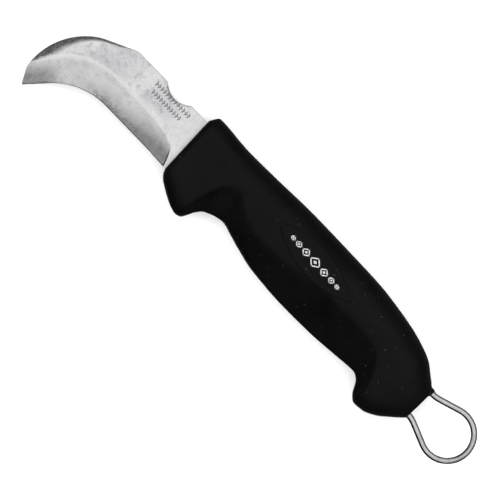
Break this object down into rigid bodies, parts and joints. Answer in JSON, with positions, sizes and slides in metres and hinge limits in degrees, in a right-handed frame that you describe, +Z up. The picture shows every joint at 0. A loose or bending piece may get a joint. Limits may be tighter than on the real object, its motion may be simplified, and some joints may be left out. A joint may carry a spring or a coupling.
{
  "type": "hawkbill skinning knife",
  "caption": "Fixed hooked steel blade with a spine notch in a black moulded guarded handle, with a pear-shaped wire lanyard loop at the butt.",
  "frame": {"origin": "centre of the flat pad on the handle's lower side, which the knife lies on", "axes": "+X along the handle towards the blade's point, +Y towards the cutting edge, +Z up out of the printed side"},
  "size_m": [0.2146, 0.0439, 0.0216],
  "materials": {
    "blade_steel": "ground bevel, mottled flats",
    "handle_plastic": "fine moulded grain",
    "loop_wire": "bright drawn wire"
  },
  "bodies": {
    "root": {"blade": "blade_steel", "handle": "handle_plastic", "lanyard_loop": "loop_wire"}
  },
  "joints": []
}
